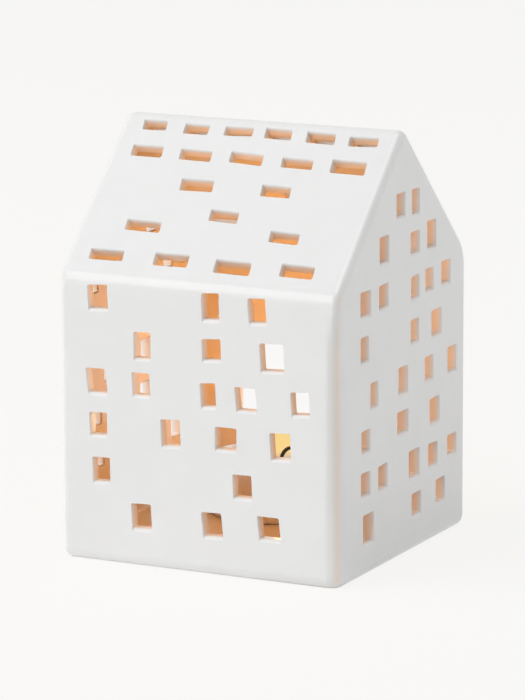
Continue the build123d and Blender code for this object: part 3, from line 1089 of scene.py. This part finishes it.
@dataclass
class Tealight:
    """The tealight in its cup, with its flame and the light that the flame gives.

    A field of points holds stretches of a profile, each point as out from a radius and up from a level.
    """

    foil: PressedFoil = field(default_factory=PressedFoil)
    wax: CandleWax = field(default_factory=CandleWax)
    melt: CandleWax = field(default_factory=lambda: CandleWax(
        "melted_wax", (0.86, 0.83, 0.74, 1.0), (0.82, 0.78, 0.68, 1.0), (0.03, 0.07),
        Relief(220.0, 2500.0, 0.15, 0.00001, 0.6)))
    cotton: BraidedCotton = field(default_factory=BraidedCotton)
    tin: TinnedSheet = field(default_factory=TinnedSheet)
    glow: FlameGlow = field(default_factory=FlameGlow)
    foil_thickness: float = 0.0003
    bore: float = 0.01832
    cup_foot: Points = ((-0.0011, 0.0), (-0.0004, 0.00012), (-0.0001, 0.0004))
    cup_rows: int = 11
    cup_steps: int = 360
    cup_sharp: float = 50.0
    pleats: int = 60
    pleat_depth: float = 0.00028
    pleat_from: float = 0.0007
    pleat_to: float = 0.0139
    pleat_fade: float = 0.0012
    collar_from: float = 0.0144
    bead: float = 0.00045
    bead_out_share: float = 0.65
    bead_turns: tuple[int, ...] = tuple(range(-80, 121, 25))
    wax_height: float = 0.012
    wax_gap: float = 0.0001
    wax_lift: float = 0.00002
    wax_foot: Points = ((-0.0003, 0.00002), (0.0, 0.0003))
    wax_climb: Points = ((0.0, 0.0004), (-0.00012, 0.00045), (-0.0006, 0.0001), (-0.0014, 0.0))
    wax_steps: int = 128
    wax_sharp: float = 60.0
    pool_radius: float = 0.0145
    pool_floor_radius: float = 0.0115
    pool_depth: float = 0.0013
    pool_lip: Points = ((0.0009, 0.0), (0.0003, -0.00006), (-0.0004, -0.0003))
    pool_bed: Points = ((0.0008, 0.0002), (0.0, 0.0))
    pool_dip: float = 0.0001
    pool_dip_radius: float = 0.006
    melt_below_top: float = 0.00035
    melt_lift: float = 0.00005
    melt_rim: Points = ((-0.0001, -0.00022), (-0.0004, -0.00026))
    melt_curve: Points = ((-0.0010, 0.00002), (-0.0018, 0.0))
    melt_to_wick: Points = ((0.0022, 0.0), (0.0013, 0.00008), (0.0008, 0.0003))
    melt_climb: float = 0.0007
    melt_sharp: float = 70.0
    wick_radius: float = 0.00055
    wick_bends: Points = ((0.0, 0.0050), (0.00205, 0.0141), (0.0056, 0.0177))
    wick_curl: float = 0.0021
    wick_tip_drop_share: float = 0.05
    wick_in_melt: float = 0.0016
    wick_direction: float = 26.7
    wick_steps: tuple[int, int, int] = (4, 8, 28)
    wick_sharp: float = 60.0
    strands: int = 3
    strand_radius_share: float = 0.56
    strand_shift_share: float = 0.5
    strand_points_a_twist: int = 13
    strand_rounding: int = 2
    strand_tip_points: int = 3
    strand_tip_share: float = 0.8
    flame_height: float = 0.021
    flame_radius: float = 0.0039
    flame_from_axis: float = 0.0030
    flame_foot: float = 0.0190
    flame_belly_share: float = 1.12
    flame_powers: Point = (0.62, 0.8, 0.25)
    flame_rows: int = 30
    flame_steps: int = 48
    flame_sharp: float = 80.0
    flame_light: Lamp = Lamp("flame_light", 0.0202, (1.0, 0.47, 0.19), 0.0039, (0.0, 0.0, 0.029))
    room_light: Lamp = Lamp("room_light", 0.0250, (1.0, 0.49, 0.125), 0.012, (0.0, -0.020, 0.062))

    def __post_init__(self) -> None:
        """Takes the cup's place from the frame."""
        low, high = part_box("tealight_cup")
        self.centre = Vector(((low.x + high.x) / 2, (low.y + high.y) / 2, low.z))
        self.height = high.z - low.z
        self.wax_top = self.foil_thickness + self.wax_height

    def build(self) -> list[bpy.types.Object]:
        """Makes every piece of the tealight."""
        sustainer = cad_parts["wick_sustainer"]
        sustainer.data.materials.clear()
        sustainer.data.materials.append(self.tin.build())
        candle = [self.build_cup(), self.build_wax(), self.build_melt(), self.build_wick()]
        flame = self.build_flame()
        for lamp in (self.flame_light, self.room_light):
            lamp.build(self.flame_foot_point(), flame)
        return [*candle, flame, sustainer]

    def build_cup(self) -> bpy.types.Object:
        """Spins the foil cup and presses its pleats."""
        outer = self.bore + self.foil_thickness
        pleated = self.pleat_to - self.pleat_from
        side = [self.pleat_from + pleated * row / self.cup_rows for row in range(self.cup_rows + 1)]
        bead_at = self.height - self.bead
        bead = [(outer + self.bead * (1 - self.bead_out_share * (1 - math.cos(turn))),
                 bead_at + self.bead * math.sin(turn)) for turn in map(math.radians, self.bead_turns)]
        profile = [(0.0, 0.0), *beside(outer, 0.0, self.cup_foot), *((outer, height) for height in side),
                   (outer, self.collar_from), *bead, (self.bore, self.height - 2 * self.bead),
                   *((self.bore, height) for height in reversed(side)),
                   (self.bore - self.foil_thickness, self.foil_thickness), (0.0, self.foil_thickness)]
        bm = spun(profile, self.centre, self.cup_steps)
        for vert in bm.verts:
            self.press_pleat(vert)
        cup = keep_piece(bm, "cup", self.foil.build(), self.cup_sharp)
        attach(cup, Body.TEALIGHT.value)
        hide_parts("tealight_cup")
        return cup

    def press_pleat(self, vert: bmesh.types.BMVert) -> None:
        """Pushes one point of the cup's side out to its pleat, fading at the foot and the collar."""
        from_axis = vert.co - self.centre
        height = from_axis.z
        radius = math.hypot(from_axis.x, from_axis.y)
        if radius < self.bore - MERGE_DISTANCE or not self.pleat_from < height < self.pleat_to:
            return
        fade = min(1.0, min(height - self.pleat_from, self.pleat_to - height) / self.pleat_fade)
        wave = (1 + math.cos(self.pleats * math.atan2(from_axis.y, from_axis.x))) / 2
        grow = 1 + self.pleat_depth * fade * wave / radius
        vert.co.x = self.centre.x + from_axis.x * grow
        vert.co.y = self.centre.y + from_axis.y * grow

    def build_wax(self) -> bpy.types.Object:
        """Spins the wax, which climbs a little up the foil and dips into the melt pool."""
        foot, top = self.foil_thickness, self.wax_top
        side = self.bore - self.wax_gap
        pool = top - self.pool_depth
        profile = [(0.0, foot + self.wax_lift), *beside(side, foot, self.wax_foot),
                   *beside(side, top, self.wax_climb), *beside(self.pool_radius, top, self.pool_lip),
                   *beside(self.pool_floor_radius, pool, self.pool_bed),
                   (self.pool_dip_radius, pool - self.pool_dip), (0.0, pool - self.pool_dip)]
        wax = keep_piece(spun(profile, self.centre, self.wax_steps), "wax", self.wax.build(), self.wax_sharp)
        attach(wax, Body.TEALIGHT.value)
        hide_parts("tealight_wax")
        return wax

    def build_melt(self) -> bpy.types.Object:
        """Spins the melted wax, flat in the middle, that clings to the rim of its pool and to the wick."""
        top = self.wax_top
        level = top - self.melt_below_top
        bottom = top - self.pool_depth + self.melt_lift
        profile = [(0.0, bottom), (self.pool_floor_radius, bottom),
                   *beside(self.pool_radius, top, self.melt_rim),
                   *beside(self.pool_radius, level, self.melt_curve), *beside(0.0, level, self.melt_to_wick),
                   (self.wick_radius, level + self.melt_climb), (0.0, level + self.melt_climb)]
        bm = spun(profile, self.centre, self.wax_steps)
        still = self.pool_radius + self.melt_curve[-1][0]
        lean = self.towards_tip(self.wick_in_melt)
        for vert in bm.verts:
            away = math.hypot(vert.co.x - self.centre.x, vert.co.y - self.centre.y)
            vert.co += lean * max(0.0, 1 - away / still)
        melt = keep_piece(bm, "melted_wax", self.melt.build(), self.melt_sharp)
        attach(melt, Body.TEALIGHT.value)
        return melt

    def towards_tip(self, out: float, up: float = 0.0) -> Vector:
        """A step out in the direction that the wick leans in, and up."""
        return Matrix.Rotation(math.radians(self.wick_direction), 3, "Z") @ Vector((out, 0.0, up))

    def wick_route(self) -> list[Vector]:
        """The wick's middle line: upright in its foot, leaning in the wax and curled over where it burned."""
        foot = self.centre + UP * self.foil_thickness
        collar, knee, tip = (foot + self.towards_tip(*bend) for bend in self.wick_bends)
        in_foot, in_wax, in_curl = self.wick_steps
        upright = [foot.lerp(collar, step / in_foot) for step in range(in_foot)]
        leaning = [collar.lerp(knee, step / in_wax) for step in range(in_wax)]
        upper = knee + (knee - collar).normalized() * self.wick_curl
        before = tip - self.towards_tip(self.wick_curl, self.wick_tip_drop_share * self.wick_curl)
        return upright + leaning + geometry.interpolate_bezier(knee, upper, before, tip, in_curl)

    def build_wick(self) -> bpy.types.Object:
        """Lays the strands round the wick's route and makes them one braid."""
        route = self.wick_route()
        last = len(route) - 1
        line = bpy.data.curves.new("braid", "CURVE")
        line.dimensions = "3D"
        line.bevel_depth = self.wick_radius * self.strand_radius_share
        line.bevel_resolution = self.strand_rounding
        line.use_fill_caps = True
        side = UP.cross(route[-1] - route[0]).normalized()
        for strand in range(self.strands):
            spline = line.splines.new("POLY")
            spline.points.add(last)
            for number, point in enumerate(route):
                ahead = (route[min(number + 1, last)] - route[max(number - 1, 0)]).normalized()
                across = side.cross(ahead).normalized()
                angle = math.tau * (strand / self.strands + number / self.strand_points_a_twist)
                shift = (side * math.cos(angle) + across * math.sin(angle)) * self.wick_radius
                spline.points[number].co = (*(point + shift * self.strand_shift_share), 1.0)
                at_tip = number > last - self.strand_tip_points
                spline.points[number].radius = self.strand_tip_share if at_tip else 1.0
        holder = bpy.data.objects.new("braid", line)
        mesh = bpy.data.meshes.new_from_object(holder)
        bpy.data.objects.remove(holder)
        bpy.data.curves.remove(line)
        wick = keep_mesh(mesh, "wick", self.cotton.build(), self.wick_sharp)
        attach(wick, Body.TEALIGHT.value)
        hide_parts("tealight_wick")
        return wick

    def flame_foot_point(self) -> Vector:
        """The point on the table's plane that the flame stands over."""
        place = self.centre + self.towards_tip(self.flame_from_axis)
        return Vector((place.x, place.y, 0.0))

    def build_flame(self) -> bpy.types.Object:
        """Spins the flame's drop shape, widest a third of the way up."""
        rise, belly, point = self.flame_powers
        profile = [(0.0, self.flame_foot)]
        for row in range(1, self.flame_rows):
            up = row / self.flame_rows
            swell = math.sin(math.pi * up ** rise) ** belly
            narrow = (1 - up) ** point
            profile.append((self.flame_radius * self.flame_belly_share * swell * narrow,
                            self.flame_foot + self.flame_height * up))
        profile.append((0.0, self.flame_foot + self.flame_height))
        bm = spun(profile, self.flame_foot_point(), self.flame_steps)
        flame = keep_piece(bm, "flame", self.glow.build(), self.flame_sharp)
        flame.visible_shadow = False
        flame.visible_diffuse = False
        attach(flame, Body.TEALIGHT.value)
        return flame


# The studio


def direction(azimuth: float, elevation: float) -> Vector:
    """The way out from the house, at degrees round from the front to the right and degrees up."""
    around, above = math.radians(azimuth), math.radians(elevation)
    return Vector((math.sin(around) * math.cos(above), -math.cos(around) * math.cos(above), math.sin(above)))


@dataclass(frozen=True)
class Softbox:
    """A square-cornered lamp that faces the house."""

    name: str
    azimuth: float
    elevation: float
    distance: float
    width: float
    height: float
    radiance: float
    mirrored: bool

    def build(self, aim: Vector) -> None:
        """Adds the lamp, turned towards a point."""
        way = direction(self.azimuth, self.elevation)
        data = bpy.data.lights.new(self.name, "AREA")
        data.shape = "RECTANGLE"
        data.size = self.width
        data.size_y = self.height
        data.energy = self.radiance * math.pi * self.width * self.height
        lamp = bpy.data.objects.new(self.name, data)
        lamp.location = aim + way * self.distance
        lamp.rotation_euler = way.to_track_quat("Z", "Y").to_euler()
        lamp.visible_glossy = self.mirrored
        bpy.context.scene.collection.objects.link(lamp)


@dataclass
class Studio:
    """The camera, the lamps, the surroundings and the table.

    The ramps give where, along a direction or a place, one part of the surroundings turns into the next.
    """

    azimuth: float = 26.66
    elevation: float = 11.75
    roll: float = -0.25
    distance: float = 1.1405
    aim: Point = (-0.0003, -0.0014, 0.0546)
    lens: float = 211.33
    backdrop: Colour = (0.947, 0.939, 0.922, 1.0)
    ambient_front: float = 0.62
    ambient_back: float = 0.34
    mirrored_left: float = 0.9
    mirrored_right: float = 0.05
    mirrored_overhead: float = 2.5
    # Painted reflection of the table: its brightness as the glaze mirrors it, on the left, on the right and
    # behind.
    mirrored_table: tuple[float, float, float] = (1.2, 0.1, 0.9)
    behind_ramp: Span = (-0.3, 0.3)
    right_ramp: Span = (-0.3, -0.1)
    overhead_side_ramp: Span = (0.6, 0.45)
    overhead_ramp: Span = (0.6, 0.75)
    table_right_ramp: Span = (0.0, 0.1)
    table_back_ramp: Span = (-0.02, 0.12)
    table_slant: float = 0.5
    table_albedo: Colour = (0.93, 0.925, 0.91, 1.0)
    table_worn: Colour = (0.90, 0.895, 0.88, 1.0)
    table_cloud_scale: float = 6.0
    table_cloud: float = 0.15
    table_flat_share: float = 0.88
    table_lift: float = 1.03
    table_half: float = 4.0
    table_sharp: float = 30.0
    lamp_aim: Point = (0.0, 0.0, 0.06)
    softboxes: tuple[Softbox, ...] = (
        Softbox("key_softbox", -27.0, 27.0, 1.2, 0.45, 0.38, 1.55, True),
        Softbox("high_softbox", -56.0, 48.0, 1.6, 1.3, 1.3, 2.1, False),
        Softbox("rear_softbox", 112.0, 20.0, 1.4, 0.9, 0.9, 0.82, False))

    def build(self) -> None:
        """Makes the studio."""
        self.build_camera()
        self.build_world()
        self.build_table()
        for lamp in self.softboxes:
            lamp.build(Vector(self.lamp_aim))

    def build_camera(self) -> None:
        """Puts the camera at the photograph's viewing angle."""
        back = direction(self.azimuth, self.elevation)
        right = direction(self.azimuth + math.degrees(RIGHT_ANGLE), 0.0)
        level = Matrix((right, back.cross(right), back)).transposed()
        turn = level @ Matrix.Rotation(math.radians(self.roll), 3, "Z")
        data = bpy.data.cameras.new("camera")
        data.lens = self.lens
        camera = bpy.data.objects.new("camera", data)
        camera.matrix_world = Matrix.Translation(Vector(self.aim) + back * self.distance) @ turn.to_4x4()
        bpy.context.scene.collection.objects.link(camera)
        bpy.context.scene.camera = camera

    def build_world(self) -> None:
        """Lights the house evenly from all round, and shows the pale backdrop to the camera."""
        world = bpy.data.worlds.new("surroundings")
        bpy.context.scene.world = world
        world.use_nodes = True
        graph = Graph(world.node_tree)
        path = graph.add("LightPath").outputs
        x, y, z = graph.axes(graph.add("TexCoord").outputs["Generated"])
        behind = graph.ramp(y, *self.behind_ramp)
        right = graph.ramp(x, *self.right_ramp)
        ambient = graph.mix(behind, grey(self.ambient_front), grey(self.ambient_back))
        ahead = graph.mix(right, grey(self.mirrored_left), grey(self.mirrored_right))
        overhead = graph.calculate("MULTIPLY", graph.ramp(x, *self.overhead_side_ramp),
                                   graph.ramp(z, *self.overhead_ramp))
        lit = graph.mix(graph.calculate("MULTIPLY", overhead, right), ahead, grey(self.mirrored_overhead))
        unlit = graph.mix(path["Is Glossy Ray"], ambient, graph.mix(behind, lit, self.backdrop))
        seen = graph.calculate("MAXIMUM", path["Is Camera Ray"], path["Is Transmission Ray"])
        light = graph.add("Background", {"Color": graph.mix(seen, unlit, self.backdrop), "Strength": 1.0})
        graph.add("OutputWorld", {"Surface": light.outputs[0]})

    def build_table(self) -> None:
        """Lays the pale table, which keeps the house's shadow."""
        bm = bmesh.new()
        bmesh.ops.create_grid(bm, x_segments=1, y_segments=1, size=self.table_half)
        material, graph = new_material("pale_table")
        cloud = mottled(graph, self.table_cloud_scale, (0.0, self.table_cloud))
        matte = graph.add("BsdfDiffuse", {"Color": graph.mix(cloud, self.table_albedo, self.table_worn)})
        flat = graph.add("Emission", {"Color": self.backdrop, "Strength": self.table_lift})
        path = graph.add("LightPath").outputs
        share = graph.calculate("MULTIPLY", path["Is Camera Ray"], self.table_flat_share)
        both = graph.add("MixShader", {0: share, 1: matte.outputs[0], 2: flat.outputs[0]})
        # Painted reflection: glossy rays see the table as a set pattern of light instead of its lit surface.
        painted_table_reflection = graph.add("Emission", {"Color": self.table_in_glaze(graph)})
        whole = graph.add("MixShader", {0: path["Is Glossy Ray"], 1: both.outputs[0], 2: painted_table_reflection.outputs[0]})
        graph.add("OutputMaterial", {"Surface": whole.outputs[0]})
        table = keep_piece(bm, "table", material, self.table_sharp)

    def table_in_glaze(self, graph: Graph) -> Socket:
        """The table's painted reflection, as the glaze mirrors it: bright ahead on the left, dim on the right
        and pale behind.
        """
        left, right, behind = self.mirrored_table
        x, y, _ = graph.axes(graph.place())
        slanted = graph.calculate("MULTIPLY_ADD", x, self.table_slant, y)
        ahead = graph.mix(graph.ramp(x, *self.table_right_ramp), grey(left), grey(right))
        return graph.mix(graph.ramp(slanted, *self.table_back_ramp), ahead, grey(behind))


def set_colour_view() -> None:
    """Shows colours as they are written."""
    bpy.context.scene.view_settings.view_transform = "Standard"


def main() -> None:
    """Builds the studio, the house and the tealight, and reports each piece."""
    logging.basicConfig(level=logging.INFO, format="%(name)s: %(message)s")
    set_colour_view()
    Studio().build()
    builders: Sequence[Callable[[], list[bpy.types.Object]]] = (lambda: [House().build()], Tealight().build)
    for builder in builders:
        for piece in builder():
            log.info("%s: %d faces", piece.name, len(piece.data.polygons))


if __name__ == "__main__":
    main()
